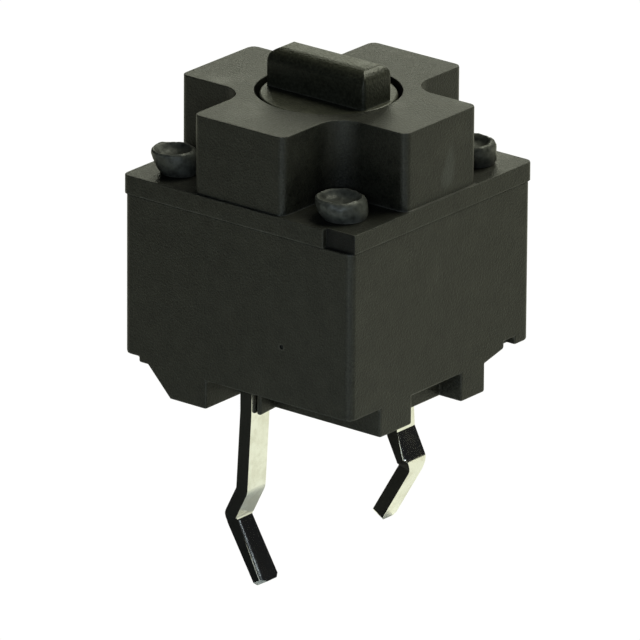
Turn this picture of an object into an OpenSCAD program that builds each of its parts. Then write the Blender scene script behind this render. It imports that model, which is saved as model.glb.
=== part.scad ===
// Square through-hole tactile push button switch, in millimetres.
// Origin: centre of the switch on the board's top face. +Z points out of the board.
// The long side of the button's key lies along X; the two terminals lie on either side along Y.

/* [Case] */
// Outside width of the square case, the same both ways
case_w = 6.0; // [5.8:0.1:7.5]
// Height of the case's rim above the board, where the cover sits
rim_z = 4.27; // [3.8:0.01:6]
// Height of the walls' lower edge above the board
wall_low_z = 0.62; // [0.4:0.02:0.8]
// Height of the cavity's floor above the board
floor_z = 1.62; // [1.3:0.02:2]
// Thickness of the case's side walls round the cavity
wall_t = 0.85; // [0.7:0.05:0.95]
// Corner radius of the cavity
cavity_r = 0.8; // [0.7:0.05:1.2]
// Radius on the case's and the cover's vertical edges
edge_r = 0.12; // [0.06:0.01:0.16]

/* [Underside] */
// How far the block that stands on the board lies inside the case along X, each side
block_inset_x = 0.57; // [0.5:0.01:0.7]
// How far the block lies inside the case along Y, each side
block_inset_y = 1.0; // [0.9:0.02:1.1]
// Width of the long foot on each side face
long_foot_w = 1.05; // [0.7:0.05:1.2]
// Width of the short foot on each side face
short_foot_w = 0.8; // [0.5:0.05:0.9]
// Distance from the centre to the short foot's inner side
short_foot_y = 0.7; // [0.5:0.05:0.9]
// Width on the board of the sloped foot beside each terminal
slope_foot_w = 0.96; // [0.6:0.02:1.2]
// Distance along X from the centre to the sloped foot's straight side
slope_foot_x = 0.8; // [0.7:0.02:0.95]
// How far the sloped foot's outer side runs out over its height
slope_run = 0.6; // [0.2:0.05:0.7]
// Depth of the recess that frees each terminal in the block
recess_d = 0.2; // [0.1:0.05:0.4]
// Width of the small notch in each side wall's lower edge
nick_w = 0.35; // [0.2:0.05:0.45]
// Distance from the notch to the case's corner
nick_inset = 0.5; // [0.3:0.05:0.6]
// Depth of the notch into the side wall
nick_t = 0.4; // [0.2:0.05:0.6]
// Height of the small notch above the walls' lower edge
nick_h = 0.3; // [0.2:0.02:0.4]

/* [Cover] */
// Thickness of the cover's plate
plate_t = 0.41; // [0.3:0.01:0.6]
// How far the plate stands out beyond the case on each side
plate_lip = 0.03; // [0:0.01:0.08]
// Height of the tower above the plate
tower_h = 1.70; // [1.2:0.05:2.2]
// How far the arms' end faces lie behind the case's sides
arm_setback = 0.03; // [0.02:0.01:0.3]
// Width of each of the four arms
arm_w = 2.38; // [2.1:0.02:2.5]
// Radius of the hollow corner between two arms
notch_r = 0.6; // [0.5:0.05:0.7]
// Length of the relief at the cover's front corner
relief_l = 0.75; // [0.4:0.05:0.9]
// Depth of the relief at the cover's front corner
relief_d = 0.12; // [0.06:0.02:0.2]

/* [Melted pins] */
// Distance from each pin's middle to the case's sides
pin_inset = 0.83; // [0.65:0.01:0.85]
// Diameter of the pins where they pass the cover
pin_d = 0.56; // [0.4:0.02:0.6]
// Diameter of the melted heads
head_d = 0.95; // [0.7:0.01:1.0]
// Height of the melted heads above the plate
head_h = 0.5; // [0.4:0.02:0.8]
// Depth of the dish that the melting tool leaves in each head
dish_h = 0.1; // [0.04:0.02:0.14]

/* [Plunger] */
// Diameter of the round disc that runs in the cover's hole
disc_d = 2.87; // [2.7:0.01:2.9]
// How far the disc's top lies below the tower's top
disc_drop = 0.06; // [0:0.02:0.2]
// Length of the key along X
key_l = 2.60; // [2.3:0.02:2.66]
// Width of the key along Y
key_w = 0.94; // [0.7:0.02:1.1]
// Height of the key's top above the tower's top
key_h = 0.75; // [0.5:0.01:1.5]
// Radius along the key's two upper edges
key_r = 0.34; // [0.2:0.02:0.34]
// Radius of the key's upright corners
key_corner_r = 0.14; // [0.08:0.02:0.2]
// Thickness of the flange
flange_t = 0.5; // [0.4:0.05:0.8]
// Diameter of the stem's foot on the dome
stem_d = 1.0; // [0.8:0.05:1.2]
// Wall of the disc's hollow underside
skirt_t = 0.38; // [0.3:0.02:0.5]

/* [Snap dome] */
// How far the dome's feet stand inside the ring contact's outer edge
dome_inset = 0.1; // [0.05:0.01:0.2]
// How much is trimmed off each of the dome's four sides
dome_trim = 0.45; // [0.35:0.05:0.55]
// Height of the dome
dome_h = 0.45; // [0.4:0.01:0.55]
// Thickness of the dome's sheet
dome_t = 0.07; // [0.05:0.01:0.08]

/* [Terminals] */
// Thickness of the terminals' strip
strip_t = 0.30; // [0.2:0.01:0.34]
// Width of the strip at the case
strip_w = 0.60; // [0.54:0.02:0.76]
// Width of the strip below its kink
tip_w = 0.48; // [0.4:0.02:0.54]
// Distance from each terminal's middle to the case's side
lead_inset = 0.7; // [0.6:0.02:0.8]
// How far the kink lies below the board's top face
kink_depth = 2.43; // [2:0.01:3]
// How far the kink stands out sideways
kink_out = 0.5; // [0.3:0.02:0.7]
// How far the tip lies below the board's top face
tip_depth = 3.75; // [3.2:0.05:4.5]
// How far the tip comes back across the middle
tip_back = 0.28; // [0.1:0.02:0.5]
// Radius of the strip's bends, along its middle
bend_r = 0.24; // [0.2:0.01:0.28]
// Width of the ring contact
ring_w = 0.6; // [0.5:0.05:0.65]
// Diameter of the centre contact's pad
pad_d = 0.9; // [0.7:0.05:1]
// Height of the raised button on the centre contact
pad_h = 0.05; // [0.03:0.01:0.06]

/* [Clearances] */
// Gap all round between the disc and the cover's hole
disc_gap = 0.095; // [0.06:0.005:0.1]
// Gap between the flange's sides and the cavity's walls
flange_side_gap = 0.2; // [0.1:0.05:0.3]
// Gap all round between the ring contact and the cavity's walls
ring_side_gap = 0.15; // [0.1:0.05:0.2]
// Gap all round between the pins and the cover's holes
pin_gap = 0.03; // [0.02:0.01:0.06]
// Gap between the plunger's flange and the cover at rest
flange_gap = 0.01; // [0.005:0.005:0.02]
// Gap between the stem and the dome at rest
stem_gap = 0.01; // [0.005:0.005:0.02]
// Gap all round between the terminals and the case
insert_gap = 0.02; // [0.01:0.01:0.03]
// Gap between a terminal's leg and the block beside it
leg_gap = 0.06; // [0.04:0.02:0.1]

/* [Hidden] */
$fn = 48;
eps = 0.01;

case_color = [0.15, 0.15, 0.13];
cover_color = [0.17, 0.17, 0.15];
plunger_color = [0.09, 0.09, 0.08];
metal_color = [0.78, 0.77, 0.73];

cavity_w = case_w - 2 * wall_t;
flange_w = cavity_w - 2 * flange_side_gap;
ring_d = cavity_w - 2 * ring_side_gap;
dome_d = ring_d - 2 * dome_inset;
dome_flat = dome_d - 2 * dome_trim;
block_l = case_w - 2 * block_inset_x;
block_d = case_w - 2 * block_inset_y;
plate_w = case_w + 2 * plate_lip;
tower_w = case_w - 2 * arm_setback;
pin_pitch = case_w - 2 * pin_inset;
pitch = case_w - 2 * lead_inset;

plate_top_z = rim_z + plate_t;
tower_top_z = plate_top_z + tower_h;
disc_top_z = tower_top_z - disc_drop;
key_top_z = tower_top_z + key_h;
flange_top_z = rim_z - flange_gap;
stem_low_z = floor_z + dome_h + stem_gap;
bore_d = disc_d + 2 * disc_gap;
blade_z = floor_z - strip_t / 2;

// Places in the strip that both terminals share: the leg's middle, its lean above the kink,
// the height share where it starts to swing out, the lead's middle and width, the ring's mouth
leg_x = -0.06;
leg_lean = 0.1;
swing_share = 0.72;
lead_x = 0.25;
lead_w = 0.5;
ring_mouth = 1.7;
tip_cut = 0.1;
strip_reach = max(kink_out, tip_back, lead_x) + strip_t;

// A square with round corners, centred
module soft_square(w, d, r) {
    square([w - 2 * r, d], center = true);
    square([w, d - 2 * r], center = true);
    for (x = [-1, 1], y = [-1, 1])
        translate([x * (w / 2 - r), y * (d / 2 - r)])
            circle(r);
}

// The part is alike when it is turned half round the Z axis
module both_ways() {
    children();
    rotate([0, 0, 180])
        children();
}

module at_pins() {
    for (x = [-1, 1], y = [-1, 1])
        translate([x * pin_pitch / 2, y * pin_pitch / 2, 0])
            children();
}

// Strip outline: a path is given round bends, then a thickness to both sides

function unit(v) = v / norm(v);
function side(v) = [-v[1], v[0]];

// Points of one bend of the path at p, coming from a and going to b
function bend(a, p, b, r) =
    let (
        u = unit(p - a),
        v = unit(b - p),
        turn = acos(max(-1, min(1, u * v))),
        hand = sign(u[0] * v[1] - u[1] * v[0]),
        start = p - u * r * tan(turn / 2),
        middle = start + side(u) * hand * r,
        steps = 5
    )
    [for (i = [0 : steps])
        let (t = hand * turn * i / steps, w = start - middle)
        middle + [w[0] * cos(t) - w[1] * sin(t), w[0] * sin(t) + w[1] * cos(t)]];

function round_path(points, r) =
    let (last = len(points) - 1)
    concat(
        [points[0]],
        [for (i = [1 : last - 1]) each bend(points[i - 1], points[i], points[i + 1], r)],
        [points[last]]
    );

// Direction across the path at point i, long enough to keep the strip's thickness
function across(path, i) =
    let (
        last = len(path) - 1,
        before = side(unit(path[max(i, 1)] - path[max(i, 1) - 1])),
        after = side(unit(path[min(i, last - 1) + 1] - path[min(i, last - 1)])),
        middle = unit(before + after)
    )
    middle / (middle * before);

function strip_outline(path, t) =
    let (last = len(path) - 1)
    concat(
        [for (i = [0 : last]) path[i] + across(path, i) * t / 2],
        [for (i = [last : -1 : 0]) path[i] - across(path, i) * t / 2]
    );

// Middle of the strip in X and Z, from the lead in the floor to the tip
leg_path = round_path([
    [lead_x, blade_z],
    [leg_x, blade_z],
    [leg_x, 0],
    [leg_x - leg_lean, -kink_depth * swing_share],
    [-kink_out, -kink_depth],
    [tip_back, -tip_depth]
], bend_r);

// The leg's stamped outline, seen along X: wide to the kink, narrow below it
module leg_outline() {
    neck = (strip_w - tip_w) / 2;
    polygon([
        [-strip_w / 2, floor_z + eps],
        [-strip_w / 2, -kink_depth + neck],
        [-tip_w / 2, -kink_depth - neck],
        [-tip_w / 2, -tip_depth - strip_t / 2 + tip_cut],
        [-tip_w / 2 + tip_cut, -tip_depth - strip_t / 2],
        [tip_w / 2 - tip_cut, -tip_depth - strip_t / 2],
        [tip_w / 2, -tip_depth - strip_t / 2 + tip_cut],
        [tip_w / 2, -kink_depth - neck],
        [strip_w / 2, -kink_depth + neck],
        [strip_w / 2, floor_z + eps]
    ]);
}

// The bent strip at full width, with room all round where it is cut from the case
module bent_strip(room = 0) {
    translate([0, -pitch / 2 + strip_w / 2 + room, 0])
        rotate([90, 0, 0])
            linear_extrude(strip_w + 2 * room)
                polygon(strip_outline(leg_path, strip_t + 2 * room));
}

module leg() {
    intersection() {
        bent_strip();
        translate([-strip_reach, -pitch / 2, 0])
            rotate([90, 0, 90])
                linear_extrude(2 * strip_reach)
                    leg_outline();
    }
}

// Flat lead that runs from the leg's bend to the middle and ends in the centre contact's pad
module centre_lead(room = 0) {
    low = -pitch / 2 - strip_w / 2 - room;
    circle(pad_d / 2 + room);
    translate([lead_x - lead_w / 2 - room, low])
        square([lead_w + 2 * room, -low]);
}

// Flat lead with the open ring that the dome's feet stand on
module ring_lead(room = 0) {
    low = -pitch / 2 - strip_w / 2 - room;
    inner = ring_d / 2 - ring_w - room;
    difference() {
        circle(ring_d / 2 + room);
        circle(inner);
        translate([-ring_mouth / 2 + room, 0])
            square([ring_mouth - 2 * room, ring_d]);
    }
    translate([lead_x - lead_w / 2 - room, low])
        square([lead_w + 2 * room, -low - inner - ring_w / 2]);
}

module flat_sheet(room = 0) {
    translate([0, 0, blade_z - strip_t / 2 - room])
        linear_extrude(strip_t + 2 * room)
            children();
}

module front_terminal() {
    button_d = pad_d * 0.6;
    color(metal_color) {
        leg();
        flat_sheet()
            centre_lead();
        translate([0, 0, floor_z - eps])
            cylinder(h = pad_h + eps, d = button_d);
    }
}

module rear_terminal() {
    color(metal_color)
        rotate([0, 0, 180]) {
            leg();
            flat_sheet()
                ring_lead();
        }
}

// Room for both terminals in the case
module terminal_slots() {
    bent_strip(insert_gap);
    flat_sheet(insert_gap)
        centre_lead(insert_gap);
    rotate([0, 0, 180]) {
        bent_strip(insert_gap);
        flat_sheet(insert_gap)
            ring_lead(insert_gap);
    }
}

// Feet and block below the walls: everything here stands on the board
module underside() {
    foot_h = wall_low_z + eps;
    half = case_w / 2;
    difference() {
        translate([-block_l / 2, -block_d / 2, 0])
            cube([block_l, block_d, foot_h]);
        both_ways()
            translate([-slope_foot_x, -block_d / 2 - eps, -eps])
                cube([slope_foot_x + leg_x + strip_t / 2 + leg_gap, recess_d + eps, foot_h + 2 * eps]);
    }
    both_ways() {
        translate([block_l / 2 - eps, -block_d / 2, 0])
            cube([half - block_l / 2 + eps, long_foot_w, foot_h]);
        translate([block_l / 2 - eps, short_foot_y, 0])
            cube([half - block_l / 2 + eps, short_foot_w, foot_h]);
        sloped_foot(foot_h);
    }
}

module sloped_foot(foot_h) {
    outer = slope_foot_x + slope_foot_w;
    translate([0, -block_d / 2 + eps, 0])
        rotate([90, 0, 0])
            linear_extrude(case_w / 2 - block_d / 2 + eps)
                polygon([
                    [-slope_foot_x, 0],
                    [-slope_foot_x, foot_h],
                    [-outer - slope_run, foot_h],
                    [-outer, 0]
                ]);
}

// Rising lower edge and small notch near one end of each side wall, seen along X
module wall_nick() {
    half = case_w / 2;
    foot_y = short_foot_y + short_foot_w;
    nick_y = half - nick_inset - nick_w;
    corner_z = wall_low_z + nick_h * 0.4;
    translate([half - nick_t, 0, 0])
        rotate([90, 0, 90])
            linear_extrude(nick_t + eps)
                polygon([
                    [foot_y, wall_low_z - eps],
                    [foot_y, wall_low_z],
                    [nick_y, wall_low_z + nick_h / 2],
                    [nick_y, wall_low_z + nick_h],
                    [nick_y + nick_w, wall_low_z + nick_h],
                    [nick_y + nick_w, corner_z],
                    [half + eps, corner_z],
                    [half + eps, wall_low_z - eps]
                ]);
}

// A pin of the case that passes the cover and ends in a round, dished, melted head
module melted_pin() {
    shoulder = head_d * 0.18;
    pin_r = pin_d / 2;
    head_r = head_d / 2;
    rotate_extrude()
        polygon(concat(
            [[0, rim_z - eps], [pin_r, rim_z - eps], [pin_r, plate_top_z], [head_r, plate_top_z]],
            [for (a = [0 : 15 : 75])
                [head_r - shoulder + shoulder * cos(a),
                 plate_top_z + head_h - shoulder + shoulder * sin(a)]],
            [[head_r - shoulder, plate_top_z + head_h], [0, plate_top_z + head_h - dish_h]]
        ));
}

module case() {
    color(case_color) {
        difference() {
            union() {
                translate([0, 0, wall_low_z])
                    linear_extrude(rim_z - wall_low_z)
                        soft_square(case_w, case_w, edge_r);
                underside();
            }
            translate([0, 0, floor_z])
                linear_extrude(rim_z - floor_z + eps)
                    soft_square(cavity_w, cavity_w, cavity_r);
            terminal_slots();
            both_ways()
                wall_nick();
        }
        at_pins()
            melted_pin();
    }
}

// Plan of the tower: four arms with a hollow corner between each two
module cross_outline() {
    arm = arm_w / 2;
    soft_square(tower_w, arm_w, edge_r);
    soft_square(arm_w, tower_w, edge_r);
    for (turn = [0 : 90 : 270])
        rotate(turn)
            difference() {
                translate([arm - eps, arm - eps])
                    square(notch_r + eps);
                translate([arm + notch_r, arm + notch_r])
                    circle(notch_r);
            }
}

module cover() {
    color(cover_color)
        difference() {
            union() {
                translate([0, 0, rim_z])
                    linear_extrude(plate_t)
                        soft_square(plate_w, plate_w, edge_r);
                translate([0, 0, rim_z + plate_t / 2])
                    linear_extrude(plate_t / 2 + tower_h)
                        cross_outline();
            }
            translate([0, 0, rim_z - eps])
                cylinder(h = plate_t + tower_h + 2 * eps, d = bore_d);
            at_pins()
                translate([0, 0, rim_z - eps])
                    cylinder(h = plate_t + 2 * eps, d = pin_d + 2 * pin_gap);
            translate([plate_w / 2 - relief_l, -plate_w / 2 - eps, rim_z - eps])
                cube([relief_l + eps, relief_d + eps, plate_t + 2 * eps]);
        }
}

// Section of the key, seen along X
module key_section() {
    foot_z = disc_top_z - skirt_t;
    for (y = [-1, 1])
        translate([y * (key_w / 2 - key_r), key_top_z - key_r])
            circle(key_r);
    translate([-key_w / 2 + key_r, foot_z])
        square([key_w - 2 * key_r, key_top_z - foot_z]);
    translate([-key_w / 2, foot_z])
        square([key_w, key_top_z - key_r - foot_z]);
}

module key() {
    intersection() {
        translate([-key_l / 2, 0, 0])
            rotate([90, 0, 90])
                linear_extrude(key_l)
                    key_section();
        translate([0, 0, disc_top_z - skirt_t])
            linear_extrude(key_top_z)
                soft_square(key_l, key_w, key_corner_r);
    }
}

module plunger() {
    roof_z = disc_top_z - skirt_t * 1.6;
    flange_low_z = flange_top_z - flange_t;
    disc_r = disc_d / 2;
    stem_top_d = stem_d * 1.3;
    color(plunger_color) {
        rotate_extrude()
            polygon([
                [0, stem_low_z],
                [stem_d / 2, stem_low_z],
                [stem_top_d / 2, roof_z],
                [disc_r - skirt_t, roof_z],
                [disc_r - skirt_t, flange_low_z],
                [disc_r, flange_low_z],
                [disc_r, disc_top_z],
                [0, disc_top_z]
            ]);
        translate([0, 0, flange_low_z])
            linear_extrude(flange_t)
                difference() {
                    soft_square(flange_w, flange_w, cavity_r);
                    circle(disc_r - skirt_t / 2);
                }
        key();
    }
}

// Sprung cap with four trimmed sides, so that it stands on its four corners
module snap_dome() {
    outer_r = (pow(dome_d / 2, 2) + pow(dome_h, 2)) / (2 * dome_h);
    color(metal_color)
        translate([0, 0, floor_z])
            intersection() {
                translate([0, 0, dome_h - outer_r])
                    difference() {
                        sphere(outer_r, $fn = 160);
                        sphere(outer_r - dome_t, $fn = 160);
                    }
                translate([-dome_flat / 2, -dome_flat / 2, 0])
                    cube([dome_flat, dome_flat, dome_h + eps]);
            }
}

case();
cover();
plunger();
snap_dome();
front_terminal();
rear_terminal();
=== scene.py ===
import math

import bmesh
import bpy
from mathutils import Matrix, Vector


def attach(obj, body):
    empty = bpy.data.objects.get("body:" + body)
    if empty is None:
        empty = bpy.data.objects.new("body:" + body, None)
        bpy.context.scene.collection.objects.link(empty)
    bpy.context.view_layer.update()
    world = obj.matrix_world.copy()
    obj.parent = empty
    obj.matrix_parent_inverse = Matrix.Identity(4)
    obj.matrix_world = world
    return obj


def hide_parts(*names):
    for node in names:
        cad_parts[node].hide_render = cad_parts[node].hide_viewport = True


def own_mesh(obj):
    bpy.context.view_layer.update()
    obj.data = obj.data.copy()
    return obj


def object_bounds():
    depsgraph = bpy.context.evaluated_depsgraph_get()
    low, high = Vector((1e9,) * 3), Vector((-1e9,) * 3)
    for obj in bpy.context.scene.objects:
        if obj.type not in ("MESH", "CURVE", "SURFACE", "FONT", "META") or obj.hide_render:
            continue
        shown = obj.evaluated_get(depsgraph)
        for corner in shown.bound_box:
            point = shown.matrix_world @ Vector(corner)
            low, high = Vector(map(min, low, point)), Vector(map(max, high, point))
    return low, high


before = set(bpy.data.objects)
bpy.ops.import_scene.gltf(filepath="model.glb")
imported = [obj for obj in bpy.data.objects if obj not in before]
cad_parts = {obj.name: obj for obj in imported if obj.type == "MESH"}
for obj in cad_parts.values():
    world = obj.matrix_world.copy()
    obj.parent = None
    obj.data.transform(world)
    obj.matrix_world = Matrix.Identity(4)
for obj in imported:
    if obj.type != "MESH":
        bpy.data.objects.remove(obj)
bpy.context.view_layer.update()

# Camera
# A long lens looks down on the switch from in front of its right corner, as the photograph does,
# and leans by a third of a degree. Everything is worked out in millimetres and set in metres.
MM = 0.001
view_turn = math.radians(38.448)
view_rise = math.radians(20.422)
view_lean = math.radians(0.368)
view_distance = 236.2
view_middle = Vector((0, 0, 1.7))
middle_right = -0.146
middle_up = -0.368

flat_way = math.cos(view_rise)
back = Vector((math.sin(view_turn) * flat_way, -math.cos(view_turn) * flat_way, math.sin(view_rise)))
right = Vector((math.cos(view_turn), math.sin(view_turn), 0))
up = back.cross(right)
aim = view_middle + right * middle_right + up * middle_up
lens_right = right * math.cos(view_lean) + up * math.sin(view_lean)
lens_up = up * math.cos(view_lean) - right * math.sin(view_lean)

bpy.ops.object.camera_add()
camera = bpy.context.object
camera.data.sensor_width = 36
camera.data.lens = 640.46
camera.data.clip_start = 10 * MM
camera.data.clip_end = 3000 * MM
axes = Matrix((lens_right, lens_up, back)).transposed().to_4x4()
camera.matrix_world = Matrix.Translation((aim + back * view_distance) * MM) @ axes
bpy.context.scene.camera = camera

# Floor
# A plain white sheet under the terminals' tips. The photograph's background is blown out to white
# and shows no shadow, so the camera sees the sheet evenly white while it lights the switch as paper does.
floor_drop = 0.02
floor_size = 900
tips_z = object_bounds()[0].z / MM
seen_white = {"Color": (1, 1, 0.99, 1), "Strength": 1.02}


def add_node(tree, kind, inputs=None, **settings):
    """Adds a shader node with its settings, and fills or links its inputs."""
    made = tree.nodes.new(kind)
    for key, value in settings.items():
        setattr(made, key, value)
    for key, value in (inputs or {}).items():
        if isinstance(value, bpy.types.NodeSocket):
            tree.links.new(value, made.inputs[key])
        else:
            made.inputs[key].default_value = value
    return made


def new_material(name):
    """An empty material with its output, ready for a surface."""
    made = bpy.data.materials.new(name)
    made.use_nodes = True
    made.node_tree.nodes.clear()
    return made, made.node_tree, made.node_tree.nodes.new("ShaderNodeOutputMaterial")


bpy.ops.object.select_all(action="DESELECT")
bpy.ops.mesh.primitive_plane_add(size=floor_size * MM, location=(0, 0, (tips_z - floor_drop) * MM))
floor = bpy.context.object
floor.name = "floor"
white_sheet, tree, end = new_material("white_sheet")
paper = add_node(tree, "ShaderNodeBsdfDiffuse", {"Color": (0.8, 0.8, 0.75, 1)})
blown_out = add_node(tree, "ShaderNodeEmission", seen_white)
seen = add_node(tree, "ShaderNodeLightPath")
sheet = add_node(tree, "ShaderNodeMixShader", {
    0: seen.outputs["Is Camera Ray"], 1: paper.outputs[0], 2: blown_out.outputs[0]})
tree.links.new(sheet.outputs[0], end.inputs["Surface"])
floor.data.materials.append(white_sheet)

# Light
# A soft light above and behind, a low one at the back left that grazes the tops, a small cool one
# over the sheet in front, and a dim room, so that the bright metal shows dark besides the white.
def soft_light(name, place, size, power, colour, aim=(0, 0, 0)):
    """A square soft light that looks at the switch, or where it is aimed, and stays out of the picture."""
    bpy.ops.object.light_add(type="AREA", location=Vector(place) * MM)
    lamp = bpy.context.object
    lamp.name = name
    lamp.data.shape = "SQUARE"
    lamp.data.size = size * MM
    lamp.data.energy = power
    lamp.data.color = colour
    lamp.rotation_euler = (Vector(aim) - Vector(place)).to_track_quat("-Z", "Y").to_euler()
    lamp.visible_camera = False


soft_light("overhead_light", (22, 66, 98), 80, 0.2, (0.98, 1.0, 0.8))
soft_light("back_left_light", (-63, 80, 44), 46, 0.0175, (0.97, 1.0, 0.8))
soft_light("front_light", (15, -21, 12), 12, 0.0065, (0.8, 0.93, 1.0), (15, -21, -4))

world = bpy.data.worlds.new("room")
bpy.context.scene.world = world
world.use_nodes = True
tree = world.node_tree
tree.nodes.clear()
seen = add_node(tree, "ShaderNodeLightPath")
dim_room = add_node(tree, "ShaderNodeBackground", {"Color": (0.9, 0.95, 1, 1), "Strength": 0.012})
white_room = add_node(tree, "ShaderNodeBackground", seen_white)
room = add_node(tree, "ShaderNodeMixShader", {
    0: seen.outputs["Is Camera Ray"], 1: dim_room.outputs[0], 2: white_room.outputs[0]})
end = add_node(tree, "ShaderNodeOutputWorld", {"Surface": room.outputs[0]})
bpy.context.scene.view_settings.view_transform = "Standard"

# Terminals
# Two flat strips stamped from silver-plated brass and bent, the rear one turned half round.
# Each leg snaps into its board hole by a kink. Their inner ends are the contacts in the case's floor:
# the front one carries the centre contact and the rear one the open ring under the dome.
strip_t = 0.30
strip_w = 0.60
tip_w = 0.48
leg_y = -2.3
bend_r = 0.24
bend_step = math.radians(6)
strip_top_z = 1.62
strip_low_z = strip_top_z - strip_t
leg_line = [(0.25, 1.47), (-0.06, 1.47), (-0.06, 0), (-0.16, -1.75), (-0.5, -2.43), (0.28, -3.75)]
neck_top_z = -2.37
neck_low_z = -2.49
tip_corner = 0.08
strip_edge = 0.025
rolled_edge = 0.13
lead_x = (0.0, 0.5)
pad_r = 0.45
contact_r = 0.27
contact_top_z = 1.67
ring_r = (1.4, 2.0)
ring_mouth = 1.7
ring_lead_y = -1.7
insert_gap = 0.02
past = 0.5
crisp = math.radians(40)


def only(piece):
    """Makes this piece the one that is selected and active."""
    bpy.ops.object.select_all(action="DESELECT")
    piece.select_set(True)
    bpy.context.view_layer.objects.active = piece


def block(name, low, high):
    """A block from its lowest corner to its highest, in millimetres."""
    low, high = Vector(low), Vector(high)
    bpy.ops.object.select_all(action="DESELECT")
    bpy.ops.mesh.primitive_cube_add(size=1, location=(low + high) / 2, scale=high - low)
    bpy.ops.object.transform_apply(location=True, rotation=True, scale=True)
    piece = bpy.context.object
    piece.name = name
    return piece


def drum(name, radius, low_z, high_z, middle=(0, 0), sides=96):
    """An upright cylinder, in millimetres."""
    bpy.ops.object.select_all(action="DESELECT")
    place = (middle[0], middle[1], (low_z + high_z) / 2)
    bpy.ops.mesh.primitive_cylinder_add(vertices=sides, radius=radius, depth=high_z - low_z, location=place)
    bpy.ops.object.transform_apply(location=True, rotation=True, scale=True)
    piece = bpy.context.object
    piece.name = name
    return piece


def edit(piece, kind):
    """Opens a piece in edit mode with nothing selected."""
    only(piece)
    bpy.ops.object.mode_set(mode="EDIT")
    bpy.ops.mesh.select_mode(type=kind)
    bpy.ops.mesh.select_all(action="DESELECT")


def pick_faces(piece, test):
    """Selects the faces whose middle and normal pass the test."""
    edit(piece, "FACE")
    mesh = bmesh.from_edit_mesh(piece.data)
    for face in mesh.faces:
        if test(face.calc_center_median(), face.normal):
            face.select_set(True)
    bmesh.update_edit_mesh(piece.data)


def pick_edges(piece, test):
    """Selects the edges whose middle, direction and angle between faces pass the test."""
    edit(piece, "EDGE")
    mesh = bmesh.from_edit_mesh(piece.data)
    for edge in mesh.edges:
        low, high = edge.verts
        way = (high.co - low.co).normalized()
        if test((low.co + high.co) / 2, way, edge.calc_face_angle(0)):
            edge.select_set(True)
    bmesh.update_edit_mesh(piece.data)


def done():
    """Leaves edit mode."""
    bpy.ops.object.mode_set(mode="OBJECT")


def round_edges(piece, test, radius, segments=3, clamp=True):
    """Rounds the edges that pass the test."""
    pick_edges(piece, test)
    bpy.ops.mesh.bevel(offset=radius, segments=segments, affect="EDGES", clamp_overlap=clamp)
    done()


def upright(at, way, angle):
    """Whether an edge stands upright."""
    return abs(way.z) > 0.9


def extrude(way):
    """Draws the selected faces out along a vector."""
    bpy.ops.mesh.extrude_region_move(TRANSFORM_OT_translate={"value": way})


def clear_seams(piece):
    """Merges doubled corners and dissolves the seams within flat faces."""
    edit(piece, "VERT")
    bpy.ops.mesh.select_all(action="SELECT")
    bpy.ops.mesh.remove_doubles(threshold=0.0005)
    bpy.ops.mesh.dissolve_limited(angle_limit=math.radians(0.3))
    done()


def combine(piece, tool, operation):
    """Cuts or joins with a tool, which is used up."""
    only(piece)
    joined = piece.modifiers.new(operation, "BOOLEAN")
    joined.operation = operation
    joined.object = tool
    joined.solver = "MANIFOLD"
    bpy.ops.object.modifier_apply(modifier=joined.name)
    bpy.data.objects.remove(tool)
    piece.data.materials.clear()
    clear_seams(piece)


def cut(piece, tool):
    """Takes a tool away from a piece."""
    combine(piece, tool, "DIFFERENCE")


def join(piece, tool):
    """Adds a tool to a piece."""
    combine(piece, tool, "UNION")


def half_turn(piece):
    """Turns a piece half round the Z axis."""
    only(piece)
    piece.rotation_euler = (0, 0, math.pi)
    bpy.ops.object.transform_apply(location=True, rotation=True, scale=True)


def settle(piece):
    """Finishes a piece: outward faces, shading, and metres with its place in the mesh."""
    edit(piece, "FACE")
    bpy.ops.mesh.select_all(action="SELECT")
    bpy.ops.mesh.normals_make_consistent(inside=False)
    done()
    bpy.ops.object.shade_smooth_by_angle(angle=math.radians(35))
    weigh = piece.modifiers.new("weigh", "WEIGHTED_NORMAL")
    weigh.keep_sharp = True
    bpy.ops.object.modifier_apply(modifier=weigh.name)
    piece.scale = (MM, MM, MM)
    bpy.ops.object.transform_apply(location=True, rotation=True, scale=True)


def leg_rings():
    """Places along the leg, each with its heading from straight down towards +X."""
    headings = [math.atan2(b[0] - a[0], a[1] - b[1]) for a, b in zip(leg_line, leg_line[1:])]
    rings = [(*leg_line[0], headings[0])]
    for corner, before, after in zip(leg_line[1:-1], headings, headings[1:]):
        turn = after - before
        run = bend_r * math.tan(abs(turn) / 2)
        steps = max(2, round(abs(turn) / bend_step))
        hand = math.copysign(1, turn)
        x = corner[0] - run * math.sin(before)
        z = corner[1] + run * math.cos(before)
        centre = (x + hand * bend_r * math.cos(before), z + hand * bend_r * math.sin(before))
        for step in range(steps + 1):
            heading = before + turn * step / steps
            rings.append((
                centre[0] - hand * bend_r * math.cos(heading),
                centre[1] - hand * bend_r * math.sin(heading),
                heading,
            ))
    rings.append((*leg_line[-1], headings[-1]))
    return rings


def leg_width(z):
    """Width of the strip: full at the case, narrow below the kink."""
    share = min(1, max(0, (neck_top_z - z) / (neck_top_z - neck_low_z)))
    return strip_w + (tip_w - strip_w) * share


def at_tip_corner(at, way, angle):
    """Whether an edge runs through the strip's thickness at one of its two last corners."""
    tip = Vector((leg_line[-1][0], leg_y, leg_line[-1][1]))
    off = at - tip
    through = off.dot(Vector((way.z, 0, -way.x))) ** 2 < 1e-4
    outer = off.length < tip_w * 0.6 and abs(off.y) > tip_w * 0.4
    return through and outer and abs(way.y) < 0.1 and angle > 1


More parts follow.
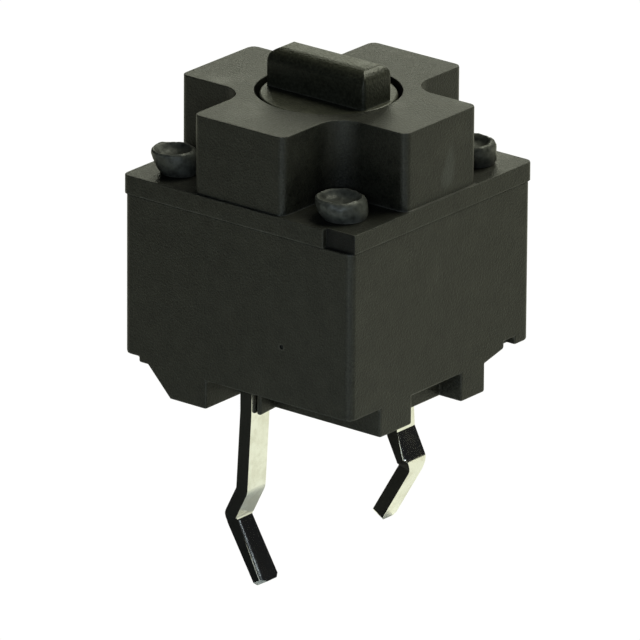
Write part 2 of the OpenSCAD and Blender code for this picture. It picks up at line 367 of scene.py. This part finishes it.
def bent_leg(name):
    """The strip's section drawn out along the leg, turned at each bend and narrowed at the kink."""
    rings = leg_rings()
    x, z, heading = rings[0]
    bpy.ops.object.select_all(action="DESELECT")
    bpy.ops.mesh.primitive_plane_add(size=1)
    piece = bpy.context.object
    piece.name = name
    edit(piece, "FACE")
    bpy.ops.mesh.select_all(action="SELECT")
    bpy.ops.transform.resize(value=(strip_t, strip_w, 1), center_override=(0, 0, 0))
    bpy.ops.transform.rotate(value=heading, orient_axis="Y", center_override=(0, 0, 0))
    bpy.ops.transform.translate(value=(x, leg_y, z))
    for ring in rings[1:]:
        extrude((ring[0] - x, 0, ring[1] - z))
        place = (ring[0], leg_y, ring[1])
        bpy.ops.transform.rotate(value=ring[2] - heading, orient_axis="Y", center_override=place)
        narrower = leg_width(ring[1]) / leg_width(z)
        bpy.ops.transform.resize(value=(1, narrower, 1), center_override=place)
        x, z, heading = ring
    bpy.ops.mesh.select_all(action="SELECT")
    bpy.ops.mesh.normals_make_consistent(inside=False)
    done()
    round_edges(piece, at_tip_corner, tip_corner, 1)
    return piece


def on_rolled_edge(at, hand):
    """Whether a place lies on one of the two long edges that the die rolled over, above or below the kink."""
    x, y, z = at.x * hand, at.y * hand - leg_y, at.z
    start, kink, tip = leg_line[3:]
    below = kink[1] - rolled_edge > z > tip[1] + rolled_edge and y < -tip_w * 0.4
    above = start[1] - rolled_edge > z > kink[1] + rolled_edge and y > tip_w * 0.4
    low, high = (tip, kink) if below else (kink, start)
    middle_x = low[0] + (high[0] - low[0]) * (z - low[1]) / (high[1] - low[1])
    return (below and x > middle_x) or (above and x < middle_x)


def finish_terminal(piece, node, hand):
    """Breaks the stamped edges, parts the plated faces from the sheared ones, and mounts the piece."""
    round_edges(piece, lambda at, way, angle: on_rolled_edge(at, hand) and abs(way.y) < 0.5 and angle > crisp,
                rolled_edge, 5, clamp=False)
    round_edges(piece, lambda at, way, angle: angle > crisp, strip_edge, 2)
    piece.data.materials.append(plated_strip)
    piece.data.materials.append(sheared_edge_painted_shade)
    # The sheared faces take the near-black edge colour, which is painted shade.
    for face in piece.data.polygons:
        in_neck = neck_low_z - 0.05 < face.center.z < neck_top_z + 0.05
        sideways = abs(face.normal.y) > (0.8 if in_neck else 0.995)
        leg_side = sideways and face.center.z < strip_low_z - strip_edge
        lead_side = face.center.z > strip_low_z and abs(face.normal.z) < 0.2
        face.material_index = 1 if leg_side or lead_side else 0
    settle(piece)
    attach(piece, "housing")
    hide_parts(node)


def new_group(name, inputs, outputs):
    """A shader node group with its named inputs and outputs."""
    made = bpy.data.node_groups.new(name, "ShaderNodeTree")
    for label, kind, value in inputs:
        made.interface.new_socket(label, in_out="INPUT", socket_type=kind).default_value = value
    for label, kind in outputs:
        made.interface.new_socket(label, in_out="OUTPUT", socket_type=kind)
    return made, made.nodes.new("NodeGroupInput"), made.nodes.new("NodeGroupOutput")


# Smudges and patches of handling, soft edged, from 0 to 1
handling, start, end = new_group(
    "handling",
    [("Vector", "NodeSocketVector", (0, 0, 0)), ("Scale", "NodeSocketFloat", 1000),
     ("Share", "NodeSocketFloat", 0.5)],
    [("Mask", "NodeSocketFloat")],
)
cloud = add_node(handling, "ShaderNodeTexNoise", {
    "Vector": start.outputs["Vector"], "Scale": start.outputs["Scale"], "Detail": 5, "Roughness": 0.62})
edge_low = add_node(handling, "ShaderNodeMath", {0: start.outputs["Share"], 1: 0.12}, operation="SUBTRACT")
edge_high = add_node(handling, "ShaderNodeMath", {0: start.outputs["Share"], 1: 0.12}, operation="ADD")
soft = add_node(handling, "ShaderNodeMapRange", {
    "Value": cloud.outputs["Fac"], "From Min": edge_low.outputs[0], "From Max": edge_high.outputs[0]},
    interpolation_type="SMOOTHSTEP")
handling.links.new(soft.outputs["Result"], end.inputs["Mask"])

# Bright silver plating, with fine rolling lines down the strip and dull patches
plated_strip, tree, end = new_material("plated_strip")
place = add_node(tree, "ShaderNodeTexCoord")
lengthways = add_node(tree, "ShaderNodeMapping", {"Vector": place.outputs["Object"], "Scale": (1, 1, 0.03)})
lines = add_node(tree, "ShaderNodeTexNoise", {"Vector": lengthways.outputs[0], "Scale": 42000, "Detail": 4})
dull = add_node(tree, "ShaderNodeGroup", node_tree=handling)
tree.links.new(place.outputs["Object"], dull.inputs["Vector"])
dull.inputs["Scale"].default_value = 2400
dull.inputs["Share"].default_value = 0.52
tone = add_node(tree, "ShaderNodeMix", {
    "Factor": dull.outputs["Mask"], 6: (0.82, 0.815, 0.79, 1), 7: (0.70, 0.685, 0.64, 1)}, data_type="RGBA")
rough = add_node(tree, "ShaderNodeMapRange", {"Value": dull.outputs["Mask"], "To Min": 0.13, "To Max": 0.2})
relief = add_node(tree, "ShaderNodeBump", {"Height": lines.outputs["Fac"], "Strength": 0.25, "Distance": 0.000002})
metal = add_node(tree, "ShaderNodeBsdfPrincipled", {
    "Base Color": tone.outputs[2], "Roughness": rough.outputs["Result"], "Normal": relief.outputs[0],
    "Metallic": 1.0})
tree.links.new(metal.outputs[0], end.inputs["Surface"])

# Bare sheared edge of the stamped strip, torn into short upright lines: tarnished brass, but its near-black colour is
# painted shade, standing for the dark that these faces reflect
sheared_edge_painted_shade, tree, end = new_material("sheared_edge_painted_shade")
place = add_node(tree, "ShaderNodeTexCoord")
across = add_node(tree, "ShaderNodeMapping", {"Vector": place.outputs["Object"], "Scale": (0.25, 0.25, 1)})
tears = add_node(tree, "ShaderNodeTexNoise", {"Vector": across.outputs[0], "Scale": 30000, "Detail": 5})
tone = add_node(tree, "ShaderNodeMix", {
    "Factor": tears.outputs["Fac"], 6: (0.002, 0.002, 0.0018, 1), 7: (0.012, 0.0118, 0.0105, 1)}, data_type="RGBA")
rough = add_node(tree, "ShaderNodeMapRange", {"Value": tears.outputs["Fac"], "To Min": 0.4, "To Max": 0.65})
relief = add_node(tree, "ShaderNodeBump", {"Height": tears.outputs["Fac"], "Strength": 0.4, "Distance": 0.000004})
metal = add_node(tree, "ShaderNodeBsdfPrincipled", {
    "Base Color": tone.outputs[2], "Roughness": rough.outputs["Result"], "Normal": relief.outputs[0],
    "Specular IOR Level": 0.15, "Metallic": 0.0})
tree.links.new(metal.outputs[0], end.inputs["Surface"])

front_strip = bent_leg("front_strip")
join(front_strip, block("lead", (lead_x[0], leg_y - strip_w / 2, strip_low_z), (lead_x[1], 0, strip_top_z)))
join(front_strip, drum("pad", pad_r, strip_low_z, strip_top_z))
join(front_strip, drum("contact", contact_r, strip_low_z + strip_t / 2, contact_top_z, sides=48))

rear_strip = bent_leg("rear_strip")
ring = drum("ring", ring_r[1], strip_low_z, strip_top_z)
cut(ring, drum("inside", ring_r[0], strip_low_z - past, strip_top_z + past))
cut(ring, block("mouth", (-ring_mouth / 2, 0, strip_low_z - past),
                (ring_mouth / 2, ring_r[1] + past, strip_top_z + past)))
join(rear_strip, block("lead", (lead_x[0], leg_y - strip_w / 2, strip_low_z), (lead_x[1], ring_lead_y, strip_top_z)))
join(rear_strip, ring)
half_turn(rear_strip)


def room_for(piece):
    """A copy of a piece, grown all round, to cut its seat with."""
    only(piece)
    bpy.ops.object.duplicate()
    grown = bpy.context.object
    edit(grown, "VERT")
    bpy.ops.mesh.select_all(action="SELECT")
    bpy.ops.transform.shrink_fatten(value=insert_gap, use_even_offset=True)
    done()
    return grown


terminal_seats = [room_for(front_strip), room_for(rear_strip)]
finish_terminal(front_strip, "front_terminal", 1)
finish_terminal(rear_strip, "rear_terminal", -1)

# Case
# The square base, moulded in black plastic round both terminals, with a block and six feet below
# that stand on the board, and a bit of flash beside the front terminal. Its four corner pins pass
# the cover's holes and their ends are melted down to rough round heads, which hold the cover.
case_w = 6.0
rim_z = 4.27
wall_low_z = 0.62
cavity_floor_z = 1.62
wall_t = 0.85
cavity_r = 0.8
upright_r = 0.17
moulded_r = 0.05
block_x = 2.43
block_y = 2.0
slope_foot = (-1.76, -0.8)
slope_run = 0.6
recess = (-0.8, 0.15, 0.2)
long_foot_end = -0.95
short_foot = (0.7, 1.5)
nick = (2.15, 2.5, 0.4)
nick_top = (0.77, 0.92, 0.74)
vent = (1.19, 1.86, 0.055)
flash_low = (0.1, -2.46, -0.05)
flash_high = (0.22, -1.7, 0.62)
flash_edge = 0.05
pin_at = 2.17
pin_r = 0.28
head_r = 0.475
plate_top_z = 4.68
head_h = 0.5
near_black = (0.0005, 0.0005, 0.0004)
olive_black = (0.0155, 0.016, 0.0122)
wall_grain = 28000
wall_rough = 0.44
rubbed = 0.3

half = case_w / 2
case = block("case_body", (-half, -half, 0), (half, half, rim_z))
round_edges(case, upright, upright_r)


def slide_edge(piece, test, way):
    """Moves the edges that pass the test, which slopes the faces beside them."""
    pick_edges(piece, lambda at, along, angle: test(at, along))
    bpy.ops.transform.translate(value=way)
    done()


for turned in (False, True):
    slope = block("slope", (-half - past, -half - past, -past),
                  (slope_foot[0] - slope_run, -block_y, wall_low_z))
    low_shift = slope_run * (1 + past / wall_low_z)
    slide_edge(slope, lambda at, along: at.z < 0 and at.x > -half and abs(along.y) > 0.9, (low_shift, 0, 0))
    rise = block("rise", (half - nick[2], short_foot[1], -past), (half + past, nick[0] + 0.01, nick_top[0]))
    slide_edge(rise, lambda at, along: at.z > 0 and at.y < short_foot[1] + 0.1 and abs(along.x) > 0.9,
               (0, 0, wall_low_z - nick_top[0]))
    tools = [
        slope,
        block("front", (slope_foot[1], -half - past, -past), (half + past, -block_y, wall_low_z)),
        block("recess", (recess[0], -block_y - past, -past), (recess[1], -block_y + recess[2], wall_low_z)),
        block("between", (block_x, long_foot_end, -past), (half + past, short_foot[0], wall_low_z)),
        block("end", (block_x, short_foot[1], -past), (half + past, block_y + past, wall_low_z)),
        rise,
        block("nick", (half - nick[2], nick[0], -past), (half + past, nick[1], nick_top[1])),
        block("corner", (half - nick[2], nick[1] - 0.01, -past), (half + past, half + past, nick_top[2])),
    ]
    for tool in tools:
        if turned:
            half_turn(tool)
        cut(case, tool)
round_edges(case, lambda at, way, angle: angle > math.radians(50) and at.z > -0.1, moulded_r, 2)

inner = half - wall_t
cavity = block("cavity", (-inner, -inner, cavity_floor_z), (inner, inner, rim_z + past))
round_edges(cavity, upright, cavity_r, 8)
cut(case, cavity)
for seat in terminal_seats:
    cut(case, seat)
flash = block("flash", flash_low, flash_high)
slide_edge(flash, lambda at, along: at.z < flash_low[2] + 0.01 and at.y > flash_high[1] - 0.01,
           (0, 0, -flash_low[2] * 0.9))
round_edges(flash, lambda at, way, angle: at.y < flash_high[1] - 0.1 and at.z < flash_high[2] - 0.1, flash_edge)
join(case, flash)
hole = drum("vent", vent[2], -0.07, 0.07, sides=16)
hole.rotation_euler = (math.radians(90), 0, 0)
hole.location = (vent[0], -half, vent[1])
only(hole)
bpy.ops.object.transform_apply(location=True, rotation=True, scale=True)
cut(case, hole)


# Height above the plate and radius of each ring of a head, as shares of its height and width
head_rings = [
    (0.03, 0.86), (0.28, 0.97), (0.55, 1.02), (0.78, 1.02), (0.93, 0.97), (1.0, 0.89),
    (0.98, 0.82), (0.88, 0.73), (0.76, 0.62), (0.68, 0.45), (0.65, 0.22),
]


def melted_pin(number, x, y, lean, width, height):
    """One pin with its head: rings drawn out upwards, rounded over, dished and pushed out of true."""
    bpy.ops.object.select_all(action="DESELECT")
    bpy.ops.mesh.primitive_circle_add(vertices=40, radius=pin_r, fill_type="NGON", location=(0, 0, rim_z - 0.1))
    bpy.ops.object.transform_apply(location=True, rotation=True, scale=True)
    pin = bpy.context.object
    pin.name = f"pin_{number}"
    edit(pin, "FACE")
    bpy.ops.mesh.select_all(action="SELECT")
    extrude((0, 0, plate_top_z - rim_z + 0.1))
    radius, share = pin_r, 0
    for raised, wide in head_rings:
        lean_by = max(0, raised - share)
        extrude((lean[0] * lean_by, lean[1] * lean_by, (raised - share) * height))
        wider = wide * width / radius
        bpy.ops.transform.resize(value=(wider, wider, 1))
        radius, share = wide * width, raised
    bpy.ops.mesh.poke()
    bpy.ops.mesh.select_all(action="SELECT")
    bpy.ops.mesh.normals_make_consistent(inside=False)
    done()
    only(pin)
    finer = pin.modifiers.new("finer", "SUBSURF")
    finer.subdivision_type = "SIMPLE"
    finer.levels = finer.render_levels = 1
    bpy.ops.object.modifier_apply(modifier=finer.name)
    clouds = bpy.data.textures.new(f"melt_{number}", "CLOUDS")
    clouds.noise_scale = 0.3
    melt = pin.modifiers.new("melt", "DISPLACE")
    melt.texture = clouds
    melt.strength = 0.07
    melt.mid_level = 0.55
    molten = pin.vertex_groups.new(name="head")
    molten.add([v.index for v in pin.data.vertices if v.co.z > plate_top_z + 0.02], 1.0, "REPLACE")
    melt.vertex_group = "head"
    melt.texture_coords = "OBJECT"
    spot = bpy.data.objects.new(f"spot_{number}", None)
    bpy.context.scene.collection.objects.link(spot)
    spot.location = (number * 3.7, number * 1.9, number * 0.7)
    bpy.context.view_layer.update()
    melt.texture_coords_object = spot
    only(pin)
    bpy.ops.object.modifier_apply(modifier=melt.name)
    bpy.data.objects.remove(spot)
    pin.location = (x, y, 0)
    bpy.ops.object.transform_apply(location=True, rotation=True, scale=True)
    return pin


# Number, place, lean, width and height of each head
heads = [
    (1, pin_at, -pin_at, (-0.12, -0.03), head_r * 1.1, head_h * 0.9),
    (2, -pin_at, -pin_at, (-0.11, -0.1), head_r, head_h * 1.04),
    (3, pin_at, pin_at, (-0.04, -0.08), head_r, head_h),
    (4, -pin_at, pin_at, (0.03, 0.02), head_r * 0.97, head_h),
]
for number, x, y, lean, width, height in heads:
    join(case, melted_pin(number, x, y, lean, width, height))

# Fine spark-eroded grain of the mould with slow blotches, as a height, a tone and a gloss
moulded_grain, start, end = new_group(
    "moulded_grain",
    [("Vector", "NodeSocketVector", (0, 0, 0)), ("Grain", "NodeSocketFloat", 22000),
     ("Blotch", "NodeSocketFloat", 2600)],
    [("Height", "NodeSocketFloat"), ("Tone", "NodeSocketFloat"), ("Gloss", "NodeSocketFloat")],
)
fine = add_node(moulded_grain, "ShaderNodeTexNoise", {
    "Vector": start.outputs["Vector"], "Scale": start.outputs["Grain"], "Detail": 4, "Roughness": 0.6})
pits = add_node(moulded_grain, "ShaderNodeTexVoronoi", {
    "Vector": start.outputs["Vector"], "Scale": start.outputs["Grain"]}, feature="SMOOTH_F1")
height = add_node(moulded_grain, "ShaderNodeMath", {0: fine.outputs["Fac"], 1: pits.outputs["Distance"]},
                  operation="ADD")
blotch = add_node(moulded_grain, "ShaderNodeTexNoise", {
    "Vector": start.outputs["Vector"], "Scale": start.outputs["Blotch"], "Detail": 6, "Roughness": 0.68})
flecked = add_node(moulded_grain, "ShaderNodeMix", {
    "Factor": 0.7, 2: blotch.outputs["Fac"], 3: fine.outputs["Fac"]}, data_type="FLOAT")
moulded_grain.links.new(height.outputs[0], end.inputs["Height"])
moulded_grain.links.new(flecked.outputs[0], end.inputs["Tone"])
moulded_grain.links.new(fine.outputs["Fac"], end.inputs["Gloss"])

# Edges rubbed a little lighter, in patches, from 0 to 1
rubbed_edges, start, end = new_group(
    "rubbed_edges",
    [("Vector", "NodeSocketVector", (0, 0, 0)), ("Radius", "NodeSocketFloat", 0.00006),
     ("Patch", "NodeSocketFloat", 2500)],
    [("Mask", "NodeSocketFloat")],
)
rounded = add_node(rubbed_edges, "ShaderNodeBevel", {"Radius": start.outputs["Radius"]}, samples=6)
surface = add_node(rubbed_edges, "ShaderNodeNewGeometry")
facing = add_node(rubbed_edges, "ShaderNodeVectorMath", {0: rounded.outputs[0], 1: surface.outputs["True Normal"]},
                  operation="DOT_PRODUCT")
near_edge = add_node(rubbed_edges, "ShaderNodeMapRange", {
    "Value": facing.outputs["Value"], "From Min": 0.995, "From Max": 0.88}, interpolation_type="SMOOTHSTEP")
patches = add_node(rubbed_edges, "ShaderNodeTexNoise", {
    "Vector": start.outputs["Vector"], "Scale": start.outputs["Patch"], "Detail": 4})
worn = add_node(rubbed_edges, "ShaderNodeMath", {0: near_edge.outputs["Result"], 1: patches.outputs["Fac"]},
                operation="MULTIPLY")
rubbed_edges.links.new(worn.outputs[0], end.inputs["Mask"])


def moulded_plastic(name, dark, light, rough, grain, wear, scuffs=()):
    """Black moulded plastic: blotched between two tones, grained, rubbed lighter along its edges and scuffed."""
    made, tree, end = new_material(name)
    place = add_node(tree, "ShaderNodeTexCoord")
    mould = add_node(tree, "ShaderNodeGroup", node_tree=moulded_grain)
    mould.inputs["Grain"].default_value = grain
    rub = add_node(tree, "ShaderNodeGroup", node_tree=rubbed_edges)
    touched = add_node(tree, "ShaderNodeGroup", node_tree=handling)
    touched.inputs["Scale"].default_value = 900
    touched.inputs["Share"].default_value = 0.6
    for group in (mould, rub, touched):
        tree.links.new(place.outputs["Object"], group.inputs["Vector"])
    blotches = add_node(tree, "ShaderNodeMapRange", {
        "Value": mould.outputs["Tone"], "From Min": 0.38, "From Max": 0.62})
    tone = add_node(tree, "ShaderNodeMix", {
        "Factor": blotches.outputs["Result"], 6: (*dark, 1), 7: (*light, 1)}, data_type="RGBA")
    edge_share = add_node(tree, "ShaderNodeMath", {0: rub.outputs["Mask"], 1: wear}, operation="MULTIPLY")
    edge_tone = add_node(tree, "ShaderNodeMix", {
        "Factor": edge_share.outputs[0], 6: tone.outputs[2], 7: (0.22, 0.22, 0.205, 1)}, data_type="RGBA")
    for middle, reach in scuffs:
        nearer = add_node(tree, "ShaderNodeVectorMath", {0: place.outputs["Object"], 1: [-v * MM for v in middle]})
        shares = add_node(tree, "ShaderNodeVectorMath", {0: nearer.outputs[0], 1: [v * MM for v in reach]},
                          operation="DIVIDE")
        away = add_node(tree, "ShaderNodeVectorMath", {0: shares.outputs[0]}, operation="LENGTH")
        ragged = add_node(tree, "ShaderNodeMath", {0: away.outputs["Value"], 1: mould.outputs["Tone"]},
                          operation="ADD")
        scuff = add_node(tree, "ShaderNodeMapRange", {
            "Value": ragged.outputs[0], "From Min": 1.6, "From Max": 1.0, "To Max": 0.8},
            interpolation_type="SMOOTHSTEP")
        edge_tone = add_node(tree, "ShaderNodeMix", {
            "Factor": scuff.outputs["Result"], 6: edge_tone.outputs[2], 7: (0.026, 0.0275, 0.026, 1)},
            data_type="RGBA")
    gloss = add_node(tree, "ShaderNodeMapRange", {
        "Value": mould.outputs["Gloss"], "From Min": 0.3, "From Max": 0.7,
        "To Min": rough - 0.05, "To Max": rough + 0.07})
    smeared = add_node(tree, "ShaderNodeMath", {0: touched.outputs["Mask"], 1: -0.08}, operation="MULTIPLY")
    roughness = add_node(tree, "ShaderNodeMath", {0: gloss.outputs["Result"], 1: smeared.outputs[0]}, operation="ADD")
    relief = add_node(tree, "ShaderNodeBump", {
        "Height": mould.outputs["Height"], "Strength": 0.8, "Distance": 0.000008})
    plastic = add_node(tree, "ShaderNodeBsdfPrincipled", {
        "Base Color": edge_tone.outputs[2], "Roughness": roughness.outputs[0], "Normal": relief.outputs[0],
        "Specular IOR Level": 0.25, "IOR": 1.5})
    tree.links.new(plastic.outputs[0], end.inputs["Surface"])
    return made


case_moulding = moulded_plastic("case_moulding", near_black, olive_black, wall_rough, wall_grain, rubbed)
# The pin heads are the case's own plastic, but take a lighter, less olive tone: painted light for the light on their
# tops and flanks.
pin_heads_painted_light = moulded_plastic("pin_heads_painted_light", (0.02, 0.0212, 0.0195), (0.052, 0.0542, 0.05), 0.46, 9000, rubbed)
case.data.materials.append(case_moulding)
case.data.materials.append(pin_heads_painted_light)
for face in case.data.polygons:
    face.material_index = 1 if face.center.z > rim_z + 0.05 else 0
settle(case)
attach(case, "housing")
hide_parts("case")

# Snap dome
# A thin cap of spring steel, trimmed on four sides so that it stands on its corners on the ring.
# It lies loose in the case. Pressed, it snaps flat onto the centre contact and springs back.
dome_side = 2.9
dome_d = 3.8
dome_h = 0.45
dome_t = 0.07
dome_r = ((dome_d / 2) ** 2 + dome_h ** 2) / (2 * dome_h)
sheet_cells = 36
sheet_z = cavity_floor_z - 1

bpy.ops.object.select_all(action="DESELECT")
bpy.ops.mesh.primitive_ico_sphere_add(subdivisions=7, radius=dome_r,
                                      location=(0, 0, cavity_floor_z + dome_h - dome_r))
former = bpy.context.object
bpy.ops.object.select_all(action="DESELECT")
bpy.ops.mesh.primitive_grid_add(x_subdivisions=sheet_cells, y_subdivisions=sheet_cells, size=dome_side,
                                location=(0, 0, sheet_z))
bpy.ops.object.transform_apply(location=True, rotation=True, scale=True)
dome = bpy.context.object
dome.name = "snap_dome_cap"
press = dome.modifiers.new("press", "SHRINKWRAP")
press.target = former
press.wrap_method = "PROJECT"
press.use_project_z = True
press.use_positive_direction = True
press.cull_face = "FRONT"
bpy.ops.object.modifier_apply(modifier=press.name)
bpy.data.objects.remove(former)
sheet_metal = dome.modifiers.new("sheet", "SOLIDIFY")
sheet_metal.thickness = dome_t
sheet_metal.offset = -1
bpy.ops.object.modifier_apply(modifier=sheet_metal.name)
edit(dome, "VERT")
bpy.ops.mesh.select_all(action="SELECT")
bpy.ops.mesh.bisect(plane_co=(0, 0, cavity_floor_z), plane_no=(0, 0, 1), clear_inner=True, use_fill=True)
done()

rolled_steel, tree, end = new_material("rolled_steel")
place = add_node(tree, "ShaderNodeTexCoord")
lengthways = add_node(tree, "ShaderNodeMapping", {"Vector": place.outputs["Object"], "Scale": (0.04, 1, 1)})
lines = add_node(tree, "ShaderNodeTexNoise", {"Vector": lengthways.outputs[0], "Scale": 36000, "Detail": 4})
dull = add_node(tree, "ShaderNodeGroup", node_tree=handling)
tree.links.new(place.outputs["Object"], dull.inputs["Vector"])
dull.inputs["Scale"].default_value = 1500
tone = add_node(tree, "ShaderNodeMix", {
    "Factor": dull.outputs["Mask"], 6: (0.72, 0.71, 0.68, 1), 7: (0.6, 0.59, 0.56, 1)}, data_type="RGBA")
rough = add_node(tree, "ShaderNodeMapRange", {"Value": lines.outputs["Fac"], "To Min": 0.16, "To Max": 0.3})
relief = add_node(tree, "ShaderNodeBump", {"Height": lines.outputs["Fac"], "Strength": 0.25, "Distance": 0.000002})
metal = add_node(tree, "ShaderNodeBsdfPrincipled", {
    "Base Color": tone.outputs[2], "Roughness": rough.outputs["Result"], "Normal": relief.outputs[0],
    "Metallic": 1.0})
tree.links.new(metal.outputs[0], end.inputs["Surface"])
dome.data.materials.append(rolled_steel)
settle(dome)
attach(dome, "housing")
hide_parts("snap_dome")
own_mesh(dome)

# Plunger
# The push button, moulded in a deeper black: a round disc that runs in the cover's hole, with a bar
# across its top that the mouse's key presses, a square flange that keeps it in, and a stem below.
disc_r = 1.435
disc_top_z = 6.32
disc_edge = 0.05
skirt_t = 0.38
roof_z = 5.712
flange_z = (3.76, 4.26)
flange_w = 3.9
stem_r = (0.65, 0.5)
stem_low_z = 2.08
key_l = 2.60
key_w = 0.94
key_top_z = 7.13
key_r = 0.34
key_end_r = 0.3
key_corner_r = 0.14
key_edge = 0.03

plunger = drum("plunger_button", disc_r, flange_z[0], disc_top_z)
round_edges(plunger, lambda at, way, angle: at.z > disc_top_z - 0.01 and angle > 1, disc_edge)
pick_faces(plunger, lambda at, way: way.z < -0.9)
bpy.ops.mesh.inset(thickness=skirt_t)
extrude((0, 0, roof_z - flange_z[0]))
bpy.ops.mesh.inset(thickness=disc_r - skirt_t - stem_r[0])
extrude((0, 0, stem_low_z - roof_z))
slimmer = stem_r[1] / stem_r[0]
bpy.ops.transform.resize(value=(slimmer, slimmer, 1), center_override=(0, 0, stem_low_z))
done()
key = block("key", (-key_l / 2 - past, -key_w / 2, disc_top_z - skirt_t), (key_l / 2 + past, key_w / 2, key_top_z))
round_edges(key, lambda at, way, angle: at.z > key_top_z - 0.01 and abs(way.x) > 0.9, key_r, 8)
ends = block("ends", (-key_l / 2, -key_w / 2, disc_top_z - past), (key_l / 2, key_w / 2, key_top_z + 0.001))
round_edges(ends, lambda at, way, angle: at.z > key_top_z - 0.01 and abs(way.y) > 0.9, key_end_r, 8)
key_flat = key_l / 2 - key_end_r
round_edges(ends, lambda at, way, angle: angle > crisp and abs(way.y) < 0.1 and abs(at.x) > key_flat
            and at.z > disc_top_z - past + 0.01, key_corner_r, 4)
combine(key, ends, "INTERSECT")
round_edges(key, lambda at, way, angle: angle > crisp and at.z > disc_top_z + 0.1 and abs(at.x) > key_flat,
            key_edge, 2)
join(plunger, key)
flange = block("flange", (-flange_w / 2, -flange_w / 2, flange_z[0]), (flange_w / 2, flange_w / 2, flange_z[1]))
round_edges(flange, upright, cavity_r, 8)
cut(flange, drum("inside", disc_r - skirt_t / 2, flange_z[0] - past, flange_z[1] + past))
join(plunger, flange)

# Its tones are set lighter than the case's: painted light that brightens the shaded sides of the key.
plunger_moulding_painted_light = moulded_plastic("plunger_moulding_painted_light", (0.012, 0.0125, 0.009), (0.032, 0.0332, 0.024),
                                   0.42, 20000, rubbed)
plunger.data.materials.append(plunger_moulding_painted_light)
settle(plunger)
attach(plunger, "button")
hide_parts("plunger")

# Cover
# A square plate with a cross-shaped tower, moulded in black plastic in one piece. The tower guides
# the button in its round bore and leaves its corners free for the four melted pins.
plate_w = 6.06
tower_w = 5.94
tower_top_z = 6.38
arm_w = 2.38
notch_r = 0.6
bore_r = 1.53
bore_edge = 0.035
pin_hole_r = 0.31
relief_size = (0.75, 0.12)
relief_edge = 0.06
# Middle and reach of each patch of the scuff on the right arm
scuff_marks = [((2.97, 0.28, 5.3), (0.1, 0.2, 0.5)), ((2.97, 0.17, 5.1), (0.1, 0.22, 0.3))]

cover = block("cover_tower", (-arm_w / 2, -arm_w / 2, rim_z + 0.2), (arm_w / 2, arm_w / 2, tower_top_z))
for side in map(Vector, ((1, 0, 0), (-1, 0, 0), (0, 1, 0), (0, -1, 0))):
    pick_faces(cover, lambda at, way: way.dot(side) > 0.9 and math.hypot(at.x, at.y) < arm_w / 2 + 0.01)
    extrude(side * (tower_w - arm_w) / 2)
    done()
clear_seams(cover)
inner_corner = arm_w / 2 * math.sqrt(2)
round_edges(cover, lambda at, way, angle: upright(at, way, angle) and math.hypot(at.x, at.y) < inner_corner + 0.01,
            notch_r, 10)
round_edges(cover, lambda at, way, angle: upright(at, way, angle) and math.hypot(at.x, at.y) > tower_w / 2
            and angle > 1, upright_r)
plate = block("plate", (-plate_w / 2, -plate_w / 2, rim_z), (plate_w / 2, plate_w / 2, plate_top_z))
round_edges(plate, upright, upright_r)
join(cover, plate)
round_edges(cover, lambda at, way, angle: angle > math.radians(50) and (
    at.z > tower_top_z - 0.01
    or (at.z > plate_top_z - 0.01 and max(abs(at.x), abs(at.y)) > plate_w / 2 - 0.08)), moulded_r, 2)
cut(cover, drum("bore", bore_r, rim_z - past, tower_top_z + past, sides=128))
round_edges(cover, lambda at, way, angle: at.z > tower_top_z - 0.01 and abs(math.hypot(at.x, at.y) - bore_r) < 0.02,
            bore_edge, 2)
for x in (-pin_at, pin_at):
    for y in (-pin_at, pin_at):
        cut(cover, drum("pin_hole", pin_hole_r, rim_z - past, plate_top_z + 0.05, (x, y), 40))
relief_x = plate_w / 2 - relief_size[0]
relief_y = -plate_w / 2 + relief_size[1]
cut(cover, block("relief", (relief_x, -plate_w / 2 - past, rim_z - past),
                 (plate_w / 2 + past, relief_y, plate_top_z + 0.1)))
round_edges(cover, lambda at, way, angle: upright(at, way, angle) and abs(at.x - relief_x) < 0.01
            and at.y < -plate_w / 2 + 0.01, relief_edge)

cover_moulding = moulded_plastic("cover_moulding", near_black, olive_black, wall_rough, wall_grain, rubbed,
                                 scuff_marks)
# The relief's back face is painted near black and made rough: painted shade that stands for the deep shadow in the
# corner's relief
relief_painted_shade = moulded_plastic("relief_painted_shade", (0.001, 0.001, 0.0008), (0.002, 0.002, 0.0016), 0.8, 30000, 0.0)
cover.data.materials.append(cover_moulding)
cover.data.materials.append(relief_painted_shade)
for face in cover.data.polygons:
    in_relief_shade = face.center.x > relief_x and abs(face.center.y - relief_y) < 0.01 and face.normal.y < -0.9
    face.material_index = 1 if in_relief_shade else 0
settle(cover)
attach(cover, "housing")
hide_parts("cover")
